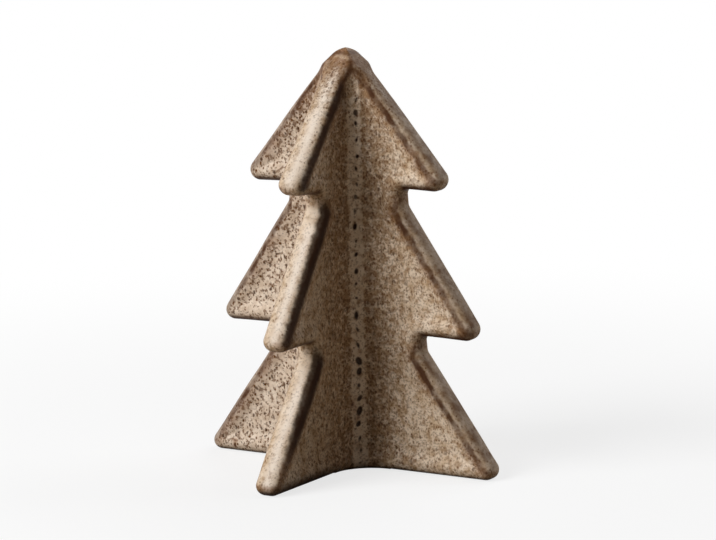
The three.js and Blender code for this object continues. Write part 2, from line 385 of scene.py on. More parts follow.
def surface_net(field, low, high, step):
    """Vertices and quads of a field's zero surface inside a box."""
    axes = [np.arange(round((b - a) / step) + 1) * step + a for a, b in zip(low, high)]
    values = field(axes[0][:, None, None], axes[1][None, :, None], axes[2][None, None, :]).astype(np.float32)
    inside = values < 0
    cells = np.array(values.shape) - 1
    corners = list(itertools.product((0, 1), repeat=3))

    def corner_view(grid, corner):
        return grid[tuple(slice(c, c + n) for c, n in zip(corner, cells))]

    filled = sum(corner_view(inside, c).astype(np.int8) for c in corners)
    active = (filled > 0) & (filled < 8)
    number = np.full(active.shape, -1, np.int64)
    number[active] = np.arange(np.count_nonzero(active))
    value_at = {c: corner_view(values, c)[active] for c in corners}
    sums = np.zeros((len(value_at[corners[0]]), 3))
    crossings = np.zeros(len(sums))
    for corner, axis in itertools.product(corners, range(3)):
        if corner[axis]:
            continue
        far = tuple(1 if a == axis else c for a, c in enumerate(corner))
        near_value, far_value = value_at[corner], value_at[far]
        crossed = (near_value < 0) != (far_value < 0)
        share = np.where(crossed, near_value / np.where(crossed, near_value - far_value, 1), 0)
        for a in range(3):
            sums[:, a] += crossed * (share if a == axis else corner[a])
        crossings += crossed
    points = (np.argwhere(active) + sums / crossings[:, None]) * step + np.array(low)

    quads = []
    for axis in range(3):
        b, c = (axis + 1) % 3, (axis + 2) % 3
        near = tuple(slice(0, cells[a]) if a == axis else slice(1, cells[a]) for a in range(3))
        far = tuple(slice(1, None) if a == axis else slice(1, cells[a]) for a in range(3))
        for leaving, order in ((True, (0, 1, 2, 3)), (False, (3, 2, 1, 0))):
            crossed = (inside[near] == leaving) & (inside[far] != leaving)
            base = np.argwhere(crossed)
            base[:, b] += 1
            base[:, c] += 1
            ring = []
            for shift_b, shift_c in ((-1, -1), (0, -1), (0, 0), (-1, 0)):
                cell = base.copy()
                cell[:, b] += shift_b
                cell[:, c] += shift_c
                ring.append(number[tuple(cell.T)])
            quads.append(np.stack([ring[i] for i in order], axis=1))
    return points, np.concatenate(quads)


def placed(name, data):
    """A new object in the scene."""
    item = bpy.data.objects.new(name, data)
    bpy.context.scene.collection.objects.link(item)
    return item


def mesh_object(name, points, faces):
    """An object of points in millimetres and the faces between them."""
    mesh = bpy.data.meshes.new(name)
    mesh.from_pydata((points * MM).tolist(), [], faces.tolist())
    mesh.validate()
    return placed(name, mesh)


def built(name, made):
    """An object of a bmesh that is no longer needed."""
    mesh = bpy.data.meshes.new(name)
    made.to_mesh(mesh)
    made.free()
    return placed(name, mesh)


def prism(name, outline, low, high):
    """Upright solid on an outline seen from above, in millimetres."""
    made = bmesh.new()
    floor = [made.verts.new(Vector((x, y, low)) * MM) for x, y in outline]
    roof = [made.verts.new(Vector((x, y, high)) * MM) for x, y in outline]
    made.faces.new(floor[::-1])
    made.faces.new(roof)
    for i, _ in enumerate(outline):
        j = (i + 1) % len(outline)
        made.faces.new((floor[i], floor[j], roof[j], roof[i]))
    return built(name, made)


def carve(piece, steps):
    """Cuts piece with each (operation, cutter) in turn, and returns the mesh that is left."""
    for operation, cutter in steps:
        cut = piece.modifiers.new(cutter.name, "BOOLEAN")
        cut.operation = operation
        cut.solver = "MANIFOLD"
        cut.object = cutter
    graph = bpy.context.evaluated_depsgraph_get()
    return bpy.data.meshes.new_from_object(piece.evaluated_get(graph))


def remove(*objects):
    for item in objects:
        bpy.data.objects.remove(item)


def bead_bar(name, angle):
    """The space of the bead in one valley, seen from above a bar that points outwards at that angle."""
    out = np.array([math.cos(angle), math.sin(angle)])
    side = np.array([-out[1], out[0]])
    outline = [
        out * BEAD_ROOT - side * BEAD_HALF,
        out * VALLEY_REACH - side * BEAD_HALF,
        out * VALLEY_REACH + side * BEAD_HALF,
        out * BEAD_ROOT + side * BEAD_HALF,
    ]
    return prism(name, outline, -CUT_MARGIN, BEAD_TOP)


class PitRow:
    """The row of small pits down the middle of one valley, which opens along +X here."""

    def __init__(self, seed):
        draw = random.Random(seed)
        pits = []
        height = FIRST_PIT
        while height < BEAD_TOP - FIRST_PIT:
            across = draw.uniform(-PIT_WANDER, PIT_WANDER)
            across += PIT_DRIFT * smoothstep((height - DRIFT_START) / DRIFT_SPREAD)
            size = draw.uniform(*PIT_SIZE) ** PIT_UNEVENNESS
            sizes = [size * draw.uniform(*span) for span in (PIT_HALF_WIDTH, PIT_HALF_HEIGHT, PIT_DEPTH)]
            pits.append((height, across, *sizes, draw.uniform(-PIT_LEAN, PIT_LEAN)))
            height += draw.uniform(*PIT_GAP)
        self.pits = np.array(pits)

    def distance(self, x, y, z):
        """Rough signed distance from the nearest pit's rim, negative inside it."""
        nearest = np.abs(z[..., None] - self.pits[:, 0]).argmin(-1)
        height, across, half_width, half_height, depth, lean = np.moveaxis(self.pits[nearest], -1, 0)
        cove = cove_radius(height)
        floor = math.sqrt(2) * (WEB_HALF + cove) - cove
        shape = np.sqrt(
            ((x - floor) / depth) ** 2
            + ((y - across - lean * (z - height)) / half_width) ** 2
            + ((z - height) / half_height) ** 2
        )
        return (shape - 1) * half_width


def seam_field(pits, angle):
    """The tree's field with a row of pits in the valley that opens at that angle."""
    across, along = math.sin(angle), math.cos(angle)

    def field(x, y, z):
        sunk = -pits.distance(x * along + y * across, y * along - x * across, z)
        return round_meet(tree_field(x, y, z), sunk, PIT_EDGE)

    return field


def rough_mesh(name, field, low, high, step):
    """An object of a field's zero surface inside a box, on a grid that runs through the axis."""
    low = [math.floor(v / step) * step for v in low]
    points, quads = surface_net(field, low, high, step)
    return mesh_object(name, settle(field, points), quads)


def wing_shape():
    """Mesh of the wing along +X, cut at its mitres and around the beads beside it."""
    half_width = VALLEY_REACH * DIAGONAL
    reach = cad_high.x / MM

    def closed(x, y, z):
        return np.maximum(tree_field(x, y, z), np.maximum(np.abs(y) - half_width, -x - WING_STEP))

    low = (-2 * WING_STEP, -half_width - WING_STEP, -2 * WING_STEP)
    high = (reach + 2 * WING_STEP, half_width + WING_STEP, TREE_HEIGHT + 2 * WING_STEP)
    rough = rough_mesh("wing_rough", closed, low, high, WING_STEP)
    far = 2 * reach
    wedge = prism("wedge", [(0, 0), (far, -far), (far, far)], -CUT_MARGIN, TREE_HEIGHT + CUT_MARGIN)
    bars = [bead_bar(f"bar_{side}", side * math.pi / 4) for side in (1, -1)]
    made = carve(rough, [("INTERSECT", wedge), *(("DIFFERENCE", bar) for bar in bars)])
    remove(rough, wedge, *bars)
    return made


def bead_shape(pits):
    """Mesh of a bead whose valley opens along +X, with its row of pits."""
    half_width = BEAD_HALF + CUT_MARGIN / 2

    def closed(x, y, z):
        tree = tree_field((x - y) * DIAGONAL, (x + y) * DIAGONAL, z)
        body = round_meet(tree, -pits.distance(x, y, z), PIT_EDGE)
        sides = np.maximum(np.abs(y) - half_width, BEAD_ROOT - CUT_MARGIN / 2 - x)
        return np.maximum(body, np.maximum(sides, z - BEAD_TOP - CUT_MARGIN))

    low = (BEAD_ROOT - CUT_MARGIN, -half_width - BEAD_STEP, -2 * BEAD_STEP)
    outermost = VALLEY_REACH - COVE_RADIUS + 2 * CUT_MARGIN + BEAD_SPARE
    high = (outermost, half_width + BEAD_STEP, BEAD_TOP + 2 * CUT_MARGIN)
    rough = rough_mesh("bead_rough", closed, low, high, BEAD_STEP)
    bar = bead_bar("bar", 0)
    made = carve(rough, [("INTERSECT", bar)])
    remove(rough, bar)
    return made


def turned(points, angle):
    """Points turned about the tree's axis."""
    cosine, sine = math.cos(angle), math.sin(angle)
    x, y, z = points.T
    return np.stack([x * cosine - y * sine, x * sine + y * cosine, z], axis=1)


def bell(distance):
    """1 on the line of the painted highlight, falling away on both sides."""
    return np.exp(-((distance / HIGHLIGHT_WIDTH) ** 2))


def past(value, edge, blur):
    """From 0 to 1 as value passes an edge that is blurred on both sides."""
    return smoothstep((value - edge) / (2 * blur) + 0.5)


def glaze_readings(points, angle, pits):
    """What the glaze goes by, for all points of a piece: each reading's name and its values."""
    x, y, z = points.T
    outer, inner = np.maximum(np.abs(x), np.abs(y)), np.minimum(np.abs(x), np.abs(y))
    in_front = y < -np.abs(x)
    slant_reach, climb = OUTLINE.reach_to(SLANTS, outer, z)
    towards_neck = SHADED_POOL_EDGE_FOOT + (SHADED_POOL_EDGE_NECK - SHADED_POOL_EDGE_FOOT) * np.clip(climb, 0, 1)
    shaded_pool_edge = np.where(z > TOP_TIP[1], SHADED_POOL_EDGE_TOP, towards_neck)
    local = turned(points, -angle).T
    return {
        "slant_reach": slant_reach,
        "slant_climb": climb,
        "under_reach": OUTLINE.reach_to(UNDERSIDES, outer, z)[0],
        "valley_reach": (outer - inner) * DIAGONAL,
        "pit_reach": np.full(len(points), FAR_FROM_PITS) if pits is None else pits.distance(*local),
        # Painted shade with dark glaze run together, on the front wing's right flank turned from the light
        "pooled_and_shaded": past(x, shaded_pool_edge, SHADED_POOL_BLUR) * in_front,
        # Everywhere but the front wing's face: where the outer rims and undersides are darkened, partly with
        # painted shade
        "off_front_face": 1 - past(x, -FRONT_FACE_FROM, FRONT_FACE_BLUR) * in_front,
        # A painted highlight along the rims, right of the middle on the front wing
        "painted_highlight": np.where(in_front, bell(x - HIGHLIGHT_LINE), FAINTER_HIGHLIGHT * bell(inner)),
        "inset": -OUTLINE.distance(outer, z),
        "spotted": np.where((x < -np.abs(y)) | (y > np.abs(x)), SPOTTED, PLAIN),
    }


def shade(mesh, normals, glazed):
    """Shades the glazed faces by the smooth normals of their points, and leaves the cut ones flat."""
    corner_point = np.empty(len(mesh.loops), np.int32)
    mesh.loops.foreach_get("vertex_index", corner_point)
    face_normal = np.empty(len(mesh.polygons) * 3, np.float32)
    mesh.polygons.foreach_get("normal", face_normal)
    face_size = np.empty(len(mesh.polygons), np.int32)
    mesh.polygons.foreach_get("loop_total", face_size)
    flat = np.repeat(face_normal.reshape(-1, 3), face_size, axis=0)
    smooth = normals[corner_point]
    facing = (flat * smooth).sum(axis=1) > SMOOTH_FACING
    whole = np.minimum.reduceat(facing & glazed[corner_point], np.cumsum(face_size) - face_size)
    chosen = np.where(np.repeat(whole, face_size)[:, None], smooth, flat)
    mesh.polygons.foreach_set("use_smooth", np.ones(len(mesh.polygons), bool))
    mesh.normals_split_custom_set(chosen.tolist())


def finish_piece(name, mesh, field, angle, pits=None):
    """Turns a shape to its place, wears its glazed surface, and gives it its readings and normals."""
    points = np.empty(len(mesh.vertices) * 3)
    mesh.vertices.foreach_get("co", points)
    points = turned(points.reshape(-1, 3) / MM, angle)
    glazed = np.abs(field(*points.T)) < TOUCHING

    def worn(x, y, z):
        return field(x, y, z) + hand_waves(x, y, z)

    points[glazed] = settle(worn, points[glazed])
    _, normals, _ = gradient(worn, points)
    points[:, 2] += lift(*points.T)
    mesh.name = name
    mesh.vertices.foreach_set("co", (points * MM).ravel())
    mesh.update()
    for key, values in glaze_readings(points, angle, pits).items():
        attribute = mesh.attributes.new(key, "FLOAT", "POINT")
        attribute.data.foreach_set("value", values.astype(np.float32))
    shade(mesh, normals, glazed)
    return placed(name, mesh)


# Where a mix node keeps its colour sockets
MIX_FACTOR, MIX_A, MIX_B, MIX_RESULT = 0, 6, 7, 2


def linear(red, green, blue):
    """A colour given as it looks on a screen, 0 to 255, as the values that a shader takes."""
    shares = [c / 255 for c in (red, green, blue)]
    return [*(c / 12.92 if c <= 0.04045 else ((c + 0.055) / 1.055) ** 2.4 for c in shares), 1.0]


class Nodes:
    """Short names for the nodes of a material or a world."""

    def __init__(self, owner):
        owner.use_nodes = True
        self.owner = owner
        self.tree = owner.node_tree
        self.tree.nodes.clear()

    def put(self, socket, value):
        if isinstance(value, bpy.types.NodeSocket):
            self.tree.links.new(value, socket)
        else:
            socket.default_value = value

    def node(self, kind, settings=None, inputs=None):
        made = self.tree.nodes.new(kind)
        for key, value in (settings or {}).items():
            setattr(made, key, value)
        for key, value in (inputs or {}).items():
            self.put(made.inputs[key], value)
        return made

    def math(self, operation, *values):
        return self.node("ShaderNodeMath", {"operation": operation}, dict(enumerate(values))).outputs[0]

    def vector(self, operation, *values):
        return self.node("ShaderNodeVectorMath", {"operation": operation}, dict(enumerate(values)))

    def times(self, *values):
        """The product of all values."""
        product = values[0]
        for value in values[1:]:
            product = self.math("MULTIPLY", product, value)
        return product

    def scaled(self, value, factor, plus):
        """value * factor + plus."""
        return self.math("MULTIPLY_ADD", value, factor, plus)

    def step(self, value, low, high, to_low=0.0, to_high=1.0):
        """A smooth step of value, from to_low at low to to_high at high."""
        inputs = {"Value": value, "From Min": low, "From Max": high, "To Min": to_low, "To Max": to_high}
        return self.node("ShaderNodeMapRange", {"interpolation_type": "SMOOTHSTEP"}, inputs).outputs[0]

    def mix(self, share, a, b):
        made = self.node("ShaderNodeMix", {"data_type": "RGBA"}, {MIX_FACTOR: share, MIX_A: a, MIX_B: b})
        return made.outputs[MIX_RESULT]

    def place(self):
        return self.node("ShaderNodeTexCoord").outputs["Object"]

    def rays(self):
        """Whether a ray comes from the camera, and whether it was mirrored or has come through glass."""
        path = self.node("ShaderNodeLightPath").outputs
        return path["Is Camera Ray"], self.math("MAXIMUM", path["Is Glossy Ray"], path["Is Transmission Ray"])


# Colours of the glaze: the base and its clouds, washes and a painted highlight, stipple and specks, and where
# it breaks or runs together, with painted shade
CREAM = linear(236, 216, 193)
SAND = linear(212, 185, 154)
PALE = linear(245, 232, 219)
RUST = linear(146, 92, 56)
TAN = linear(154, 118, 82)
STIPPLE = linear(104, 68, 36)
SPOT = linear(70, 40, 16)
CREST = linear(70, 38, 16)
SHADE = linear(44, 22, 6)

# Spans of the glaze are in millimetres from a slanted edge, the middle of a valley, an underside or a pit.
# Heights are in metres, and a climb goes from 0 at the foot of a tier to 1 at its neck. A span is where a
# smooth step begins and ends, and two more numbers are what it goes from and to. A band has four ends.
RIM = (3.0, 1.5)
MUCH_SPOTTED = (0.75, 0.95)

# Noise for patches of glaze and for ragged edges: its scale and detail, which also stand before spans of gaps
PATCHES, RAGS = (60.0, 2.0), (280.0, 2.0)

# Where the brown specks lie thicker or thinner, and by how much
STRIP_SPAN, STRIP_WEIGHT = (2.6, 1.8), -0.2
EDGE_BAND, EDGE_WEIGHT = (1.5, 2.5, 4.0, 9.0), 0.12
VALLEY_BAND, VALLEY_WEIGHT = (2.0, 3.2, 7.0, 16.0), 0.38
GROOVE_BAND, GROOVE_WEIGHT = (2.0, 3.2, 4.2, 6.0), 0.22
CROWN_SPAN, CROWN_WEIGHT = (0.112, 0.132), 0.4
# Fewer specks under the painted highlight, and on the rims
HIGHLIGHT_WEIGHT, RIM_WEIGHT = -0.4, -0.12
PATCH_WEIGHT, LEAST_DENSITY = 0.55, -0.12

# Specks: how many to a metre, how far they are pushed about, their stretch, their least size and its spread
COARSE_SPECKS = (640.0, 0.0012, (1.0, 1.0, 0.75), 0.17, 0.24)
FINE_SPECKS = (1050.0, 0.0007, (1.0, 1.0, 0.8), 0.28, 0.26)

# All specks: how fine the pushes are beside them, how sharply density decides on a speck, and its edge
SPECK_PUSHES, SPECK_CHANCE, SPECK_EDGE = 1.3, (0.26, 0.02), (1.2, 0.5)

# What density loses for coarse specks, and what is added to it on a rim, on spotted wings and for fine specks
COARSE_FEWER, COARSE_ON_RIM, COARSE_ON_SPOTTED, FINE_MORE = 0.10, -0.2, 0.22, 0.08

# Soft stipple and dashes under the specks: what density adds to a noise, the noise, and its span
MOTTLE = (0.25, 520.0, 2.0, 0.48, 0.76, 0.0, 0.65)
GRAIN = (0.15, 1350.0, 1.0, 0.48, 0.68, 0.0, 0.45)
NET = (0.10, 820.0, 2.0, 0.555, 0.64)
STIPPLE_ON_RIM, STIPPLE_ON_SPOTTED, NET_ON_RIM = -0.3, -0.65, -0.5

# Large run spots: how many to a metre, their warp, how often they come, their spread and least size,
# how far inside the rim they begin, and the edges of a spot and of its ring
BLOTCHES, BLOTCH_WARP = 150.0, (0.005, 300.0, (1.0, 1.0, 0.6))
BLOTCH_SHARE, BLOTCH_CHANCE, BLOTCH_SIZE = (1.2, -0.74), (0.03, -0.03), (0.13, 0.06)
BLOTCH_START, SPOT_EDGE, RING_EDGE = (2.0, 4.0), (1.3, 0.6), (2.2, 1.0)

# The glaze breaks along a slanted rim in a soft band, partly painted shade inside the rim, and a dark line:
# where they lie, how they grow and end with the climb, how much of the band is left on the spotted wings, and
# the gaps in them
SOFT_BAND, SOFT_GROWTH, SOFT_END = (0.6, 2.0, 2.8, 5.2), (0.0, 0.9, 0.35, 1.0), (1.14, 1.0)
LINE_BAND, LINE_GROWTH, LINE_END = (1.1, 1.9, 2.7, 3.7), (-0.6, 0.5), (1.16, 1.02)
SOFT_ON_SPOTTED, SOFT_GAPS = (0.75, 0.95, 1.0, 0.4), (190.0, 3.0, 0.36, 0.60, 0.2, 0.75)
LINE_RAGS, LINE_GAPS, LINE_STRENGTH = 0.7, (170.0, 3.0, 0.36, 0.60), (0.5, 0.4)
ON_FLANK = (0.2, 1.5)

# Paler colour: a painted highlight along the rims, and paler glaze on the strip in a valley up to the crown
HIGHLIGHT_ON_RIM, HIGHLIGHT_CLIMB = (3.0, 1.4), (1.0, 0.78, 0.2, 1.0)
PALE_STRIP, PALE_STRIP_END = (2.8, 1.6, 0.0, 0.35), (0.124, 0.116)

# Rust beside the rims, and rust and streaks on the crown
BLUSH_BAND, BLUSH_PATCHES = (0.8, 2.0, 3.0, 6.0), (0.40, 0.60)
RUSTY_CROWN, RUSTY_RAGS = (0.127, 0.138), (-0.4, 0.4, 0.25, 0.6)
STREAKED_CROWN, STREAKS = (0.128, 0.137), (330.0, 3.0, 0.40, 0.62, 0.05, 0.7)

# Painted shade and dark glaze run together beside the front rim, on its flank turned from the light: its
# reach, how it narrows, where it is torn, and its foot
SHADED_POOL_REACH, SHADED_POOL_FOOT = (7.0, 3.0), (0.003, 0.020)
SHADED_POOL_CLIMB, SHADED_POOL_TOP, SHADED_POOL_TOP_NARROWING = (0.8, 1.12, 0.0, 2.0), (0.124, 0.133), 5.0
TEARS, TEAR_WEIGHT, TEAR_MIDDLE, TORN = (420.0, 3.0), 0.9, 0.45, (0.1, 0.9)

# Ragged dark edges, partly painted shade along the outer rims and under the tips: how ragged they are, and
# their span
BRIM, BRIM_GAPS = (0.6, 1.8, 0.0), (240.0, 3.0, 0.36, 0.70, 0.45, 0.9)
BORDER, BORDER_GAPS = (0.9, 2.8, 1.0), (210.0, 3.0, 0.36, 0.62, 0.5, 1.0)
TIP, FACE_TIP = (0.4, 2.6, 0.7), (0.6, 2.4, 0.3, 1.0)
NOSE, NOSE_SHAPE, NOSE_ON_SPOTTED = (0.8, 10.0, 6.5), 1.5, -0.7

# Pits, and the foot line, which is higher on the front wing's face, where it is painted contact shadow
PIT_RIM, PIT_FLOOR = (0.45, 0.05), (0.12, -0.05)
FOOT, FACE_FOOT = (0.0018, 0.0005), (0.0060, 0.0010)
FACE_FOOT_VALLEY, FACE_FOOT_SLANT = (5.0, 16.0), (1.5, 4.5, 0.2, 1.0)

# Clouds of the base colour, roughness and its span, gloss, and the fine relief with its hollow spots
CLOUDS = (260.0, 2.0, 0.3, 0.72)
SATIN, GLOSS = (320.0, 2.0, 0.2, 0.8, 0.44, 0.54), 0.07
PEEL, SPOT_RELIEF, RELIEF_STRENGTH, RELIEF_DEPTH = (650.0, 2.0), -0.6, 0.1, 0.0004


class Glaze(Nodes):
    """Cream satin glaze with brown specks, thick beside the valleys, that breaks to brown along the rims,
    with a painted highlight and painted shade.

    It is laid on in layers, each as where it lies, how strongly it covers, and its colour.
    """

    def __init__(self, name):
        super().__init__(bpy.data.materials.new(name))
        self.at = self.place()
        self.height = self.node("ShaderNodeSeparateXYZ", inputs={"Vector": self.at}).outputs["Z"]
        self.slant = self.reading("slant_reach")
        self.climb = self.reading("slant_climb")
        self.under = self.reading("under_reach")
        self.valley = self.reading("valley_reach")
        self.painted_highlight = self.reading("painted_highlight")
        self.off_front_face = self.reading("off_front_face")
        self.spotted = self.reading("spotted")
        self.much_spotted = self.step(self.spotted, *MUCH_SPOTTED)
        self.on_rim = self.step(self.slant, *RIM)
        self.patchy = self.noise(*PATCHES)
        self.ragged = self.scaled(self.noise(*RAGS), 2.0, -1.0)
        self.wavering = self.math("ADD", self.slant, self.ragged)

    def reading(self, name):
        return self.node("ShaderNodeAttribute", {"attribute_name": name}).outputs["Fac"]

    def noise(self, scale, detail):
        inputs = {"Vector": self.at, "Scale": scale, "Detail": detail}
        return self.node("ShaderNodeTexNoise", inputs=inputs).outputs["Fac"]

    def cells(self, scale, at):
        """Distance to the nearest of many scattered points, in steps of 1/scale, and two random values."""
        made = self.node("ShaderNodeTexVoronoi", inputs={"Vector": at, "Scale": scale})
        number = self.node("ShaderNodeSeparateColor", inputs={"Color": made.outputs["Color"]})
        return made.outputs["Distance"], number.outputs["Red"], number.outputs["Green"]

    def warped(self, amount, scale, stretch):
        """The place, moved about by noise and stretched."""
        inputs = {"Vector": self.at, "Scale": scale, "Detail": 1.0}
        drift = self.node("ShaderNodeTexNoise", inputs=inputs).outputs["Color"]
        centred = self.vector("SUBTRACT", drift, (0.5, 0.5, 0.5)).outputs[0]
        moved = self.vector("MULTIPLY_ADD", centred, (amount, amount, amount), self.at).outputs[0]
        return self.vector("MULTIPLY", moved, stretch).outputs[0]

    def band(self, value, start, peak_start, peak_end, end):
        """1 between the peaks, falling to 0 at start and end."""
        return self.times(self.step(value, start, peak_start), self.step(value, end, peak_end))

    def patches(self, scale, detail, *span):
        """A smooth step of noise."""
        return self.step(self.noise(scale, detail), *span)

    def thickened(self, density, weight, scale, detail, *span):
        """A smooth step of noise, with more of it where density is high."""
        return self.step(self.scaled(density, weight, self.noise(scale, detail)), *span)

    def frayed(self, value, raggedness, *span):
        """A smooth step of value with a ragged edge."""
        return self.step(self.scaled(self.ragged, raggedness, value), *span)

    def density(self):
        """How thickly the brown specks lie, from 0 to about 1."""
        valley = self.math("ADD", self.valley, self.ragged)
        on_rim = self.step(self.wavering, *RIM)
        density = self.scaled(self.patchy, PATCH_WEIGHT, LEAST_DENSITY)
        for share, weight in (
            (self.step(valley, *STRIP_SPAN), STRIP_WEIGHT),
            (self.band(self.wavering, *EDGE_BAND), EDGE_WEIGHT),
            (self.band(valley, *VALLEY_BAND), VALLEY_WEIGHT),
            (self.band(valley, *GROOVE_BAND), GROOVE_WEIGHT),
            (self.step(self.height, *CROWN_SPAN), CROWN_WEIGHT),
            (self.times(on_rim, self.painted_highlight), HIGHLIGHT_WEIGHT),
            (on_rim, RIM_WEIGHT),
        ):
            density = self.scaled(share, weight, density)
        return density

    def specks(self, density, scale, push, stretch, least, spread):
        """Soft specks, one near each of many scattered points, more of them where density is high."""
        far, chance, size = self.cells(scale, self.warped(push, scale * SPECK_PUSHES, stretch))
        present = self.step(self.math("SUBTRACT", chance, density), *SPECK_CHANCE)
        edge = self.math("DIVIDE", far, self.scaled(size, spread, least))
        return self.times(present, self.step(edge, *SPECK_EDGE))

    def blotches(self):
        """Large dark run spots away from the rims, and the rusty ring round each."""
        far, chance, size = self.cells(BLOTCHES, self.warped(*BLOTCH_WARP))
        share = self.scaled(self.spotted, *BLOTCH_SHARE)
        chosen = self.step(self.math("SUBTRACT", chance, share), *BLOTCH_CHANCE)
        here = self.times(chosen, self.step(self.slant, *BLOTCH_START))
        edge = self.math("DIVIDE", far, self.scaled(size, *BLOTCH_SIZE))
        return self.times(here, self.step(edge, *SPOT_EDGE)), self.times(here, self.step(edge, *RING_EDGE))

    def crest_line(self):
        """Where the glaze breaks along the slanted rims: a soft wide band, partly painted shade, and a dark
        line in it.
        """
        on_flank = self.step(self.reading("inset"), *ON_FLANK)
        soft = self.times(
            self.band(self.wavering, *SOFT_BAND),
            self.step(self.climb, *SOFT_GROWTH), self.step(self.climb, *SOFT_END),
            self.step(self.spotted, *SOFT_ON_SPOTTED), on_flank, self.patches(*SOFT_GAPS),
        )
        line = self.times(
            self.band(self.scaled(self.ragged, LINE_RAGS, self.slant), *LINE_BAND),
            self.scaled(self.patches(*LINE_GAPS), *LINE_STRENGTH),
            self.step(self.climb, *LINE_GROWTH), self.step(self.climb, *LINE_END), on_flank,
        )
        return soft, line

    def washes(self):
        """A painted highlight along the rims, paler glaze on the spotted wings and on the strips, and rust by
        rims and crown.
        """
        # A painted highlight on the rims
        rim = self.times(self.step(self.slant, *HIGHLIGHT_ON_RIM), self.painted_highlight, self.step(self.climb, *HIGHLIGHT_CLIMB))
        strip = self.times(self.step(self.valley, *PALE_STRIP), self.step(self.height, *PALE_STRIP_END))
        blush = self.times(self.band(self.wavering, *BLUSH_BAND), self.step(self.patchy, *BLUSH_PATCHES))
        rusty = self.times(self.step(self.height, *RUSTY_CROWN), self.step(self.ragged, *RUSTY_RAGS))
        streaked = self.times(self.step(self.height, *STREAKED_CROWN), self.patches(*STREAKS))
        return [
            (rim, 0.65, PALE),
            (self.much_spotted, 0.4, PALE),
            (strip, 1, PALE),
            (blush, 0.4, RUST),
            (rusty, 1, RUST),
            (streaked, 1, STIPPLE),
        ]

    def speckling(self):
        """Soft stipple, a net of dashes on the spotted wings, and fine and coarse specks."""
        density = self.density()
        clear = self.scaled(self.on_rim, STIPPLE_ON_RIM, 1.0)
        clear = self.scaled(self.much_spotted, STIPPLE_ON_SPOTTED, clear)
        net = self.times(self.much_spotted, self.scaled(self.on_rim, NET_ON_RIM, 1.0))
        sparse = self.math("SUBTRACT", density, COARSE_FEWER)
        sparse = self.scaled(self.much_spotted, COARSE_ON_SPOTTED, sparse)
        sparse = self.scaled(self.on_rim, COARSE_ON_RIM, sparse)
        dense = self.math("ADD", density, FINE_MORE)
        return [
            (self.times(self.thickened(density, *MOTTLE), clear), 1, TAN),
            (self.times(self.thickened(density, *GRAIN), clear), 1, STIPPLE),
            (self.times(self.thickened(density, *NET), net), 0.7, STIPPLE),
            (self.times(self.specks(dense, *FINE_SPECKS), self.spotted), 1, STIPPLE),
            (self.times(self.specks(sparse, *COARSE_SPECKS), self.spotted), 0.85, SPOT),
        ]

    def breaks(self):
        """Dark glaze where it runs thin or together: brims, borders, the dark front flank, tips and their
        noses. The brims, borders, front flank and tip undersides are partly painted shade.
        """
        # Dark outer rims: partly broken glaze, partly painted shade
        brim = self.times(self.frayed(self.slant, *BRIM), self.patches(*BRIM_GAPS), self.off_front_face)
        border = self.times(self.frayed(self.slant, *BORDER), self.patches(*BORDER_GAPS), self.much_spotted)
        narrowing = self.step(self.climb, *SHADED_POOL_CLIMB)
        narrowing = self.scaled(self.step(self.height, *SHADED_POOL_TOP), SHADED_POOL_TOP_NARROWING, narrowing)
        # Painted shade and dark glaze on the front wing's flank turned from the light
        torn = self.math("SUBTRACT", self.reading("pooled_and_shaded"), TEAR_MIDDLE)
        torn = self.step(self.scaled(self.noise(*TEARS), TEAR_WEIGHT, torn), *TORN)
        shaded_pool = self.step(self.math("ADD", narrowing, self.wavering), *SHADED_POOL_REACH)
        shaded_pool = self.times(shaded_pool, torn, self.step(self.height, *SHADED_POOL_FOOT))
        # Dark undersides of the tips: partly thin glaze, partly painted shade
        tip = self.math("MAXIMUM", self.off_front_face, self.step(self.slant, *FACE_TIP))
        tip = self.times(self.frayed(self.under, *TIP), tip)
        nose = self.frayed(self.scaled(self.under, NOSE_SHAPE, self.slant), *NOSE)
        nose = self.times(nose, self.off_front_face, self.scaled(self.much_spotted, NOSE_ON_SPOTTED, 1.0))
        return [
            (brim, 1, STIPPLE),
            (border, 0.6, CREST),
            (shaded_pool, 0.9, SHADE),
            (tip, 0.9, CREST),
            (nose, 0.75, CREST),
        ]

    def hollows(self):
        """The pits, and the foot line, which on the front wing's face is painted contact shadow."""
        pit = self.reading("pit_reach")
        # Painted contact shadow along the foot of the front wing's face
        face_foot = self.times(
            self.step(self.height, *FACE_FOOT), self.math("SUBTRACT", 1.0, self.off_front_face),
            self.step(self.valley, *FACE_FOOT_VALLEY), self.step(self.slant, *FACE_FOOT_SLANT),
        )
        return [
            (self.step(pit, *PIT_RIM), 0.6, CREST),
            (self.step(pit, *PIT_FLOOR), 1, SHADE),
            (self.step(self.height, *FOOT), 0.7, SHADE),
            (face_foot, 0.9, SHADE),
        ]


